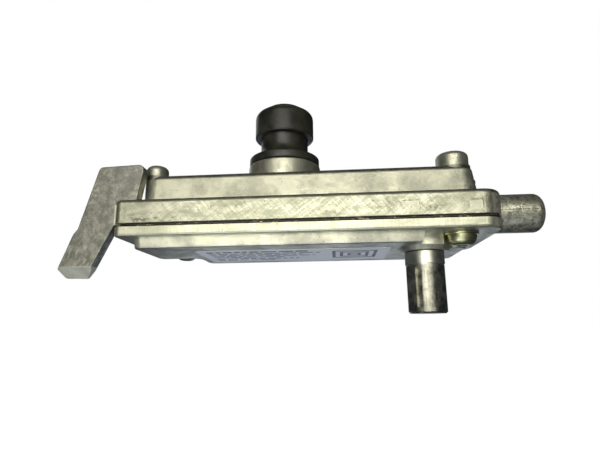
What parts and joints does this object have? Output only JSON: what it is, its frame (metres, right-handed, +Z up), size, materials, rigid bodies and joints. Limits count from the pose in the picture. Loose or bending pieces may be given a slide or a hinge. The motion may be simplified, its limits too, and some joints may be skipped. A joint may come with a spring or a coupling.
{
  "type": "door closer",
  "caption": "compact rack-and-pinion door closer in a flat two-part cast case with a side leg, a round end trunnion, a black pull knob on top and an output spindle below",
  "frame": {"origin": "on the output spindle's axis, level with the mouth of its boss, where the spindle leaves the case", "axes": "+X along the case to the end trunnion, +Y from the linished front edge to the back, +Z up to the knob; the output spindle points down along -Z"},
  "size_m": [0.1564, 0.044, 0.0749],
  "materials": {
    "cast_upper": "as-cast satin with linished front edge, scuffed",
    "cast_cover": "as-cast satin with linished front edge",
    "sealant": "dark cured sealing compound",
    "bronze": "turned bearing bronze",
    "seal_rubber": "matte",
    "honed_steel": "honed bore",
    "machined_aluminium": "turned",
    "spring_steel": "oiled wire",
    "yellow_zinc": "yellow passivated zinc plate",
    "zinc_plate": "zinc plate",
    "bright_steel": "ground and polished",
    "label": null,
    "spindle_steel": "turned and lightly worn",
    "rack_steel": "ground and oiled",
    "ring_plastic": "filled fluoropolymer",
    "knob_black": "satin black"
  },
  "bodies": {
    "case": {"upper_casting": "cast_upper", "lower_cover": "cast_cover", "casing_gasket": "sealant", "upper_spindle_bush": "bronze", "lower_spindle_bush": "bronze", "spindle_seal": "seal_rubber", "cylinder_liner": "honed_steel", "cylinder_cap": "machined_aluminium", "main_spring": "spring_steel", "plunger_bush": "bronze", "plunger_spring": "spring_steel", "speed_valve_o_ring": "seal_rubber", "latch_valve_o_ring": "seal_rubber", "cover_bolt": "yellow_zinc", "cover_screw": "zinc_plate", "filler_plug": "bright_steel", "rating_plate": "label"},
    "spindle": {"output_spindle": "spindle_steel", "drive_pinion": "spindle_steel", "spindle_circlip": "spring_steel", "thrust_washer": "bronze"},
    "piston": {"rack_piston": "rack_steel", "piston_ring_left": "ring_plastic", "piston_ring_right": "ring_plastic", "check_ball": "bright_steel", "check_spring": "spring_steel", "check_plug": "bronze"},
    "plunger": {"plunger_pin": "bright_steel", "hold_open_knob": "knob_black"},
    "speed_valve": {"speed_valve_screw": "bronze"},
    "latch_valve": {"latch_valve_screw": "bronze"}
  },
  "joints": [
    {"name": "spindle_turn", "type": "hinge", "parent": "case", "child": "spindle", "pos_m": [0, 0, 0], "axis": [0, 0, 1], "range_deg": [0, 100], "stiffness_Nm_per_rad": 0.3, "springref_deg": -34.38},
    {"name": "piston_slide", "type": "slide", "parent": "case", "child": "piston", "axis": [-1, 0, 0], "range_m": [0, 0.0088], "deforming": ["main_spring"]},
    {"name": "plunger_lift", "type": "slide", "parent": "case", "child": "plunger", "axis": [0, 0, 1], "range_m": [0, 0.003], "stiffness_N_per_m": 400, "springref_m": -0.004, "deforming": ["plunger_spring"]},
    {"name": "speed_valve_turn", "type": "hinge", "parent": "case", "child": "speed_valve", "pos_m": [-0.03, 0.0254, 0.013], "axis": [0, 1, 0], "range_deg": [-180, 180]},
    {"name": "latch_valve_turn", "type": "hinge", "parent": "case", "child": "latch_valve", "pos_m": [-0.062, 0.0254, 0.013], "axis": [0, 1, 0], "range_deg": [-180, 180]}
  ],
  "couplings": [
    {"joint": "piston_slide", "follows": "spindle_turn", "m_per_rad": 0.005}
  ]
}
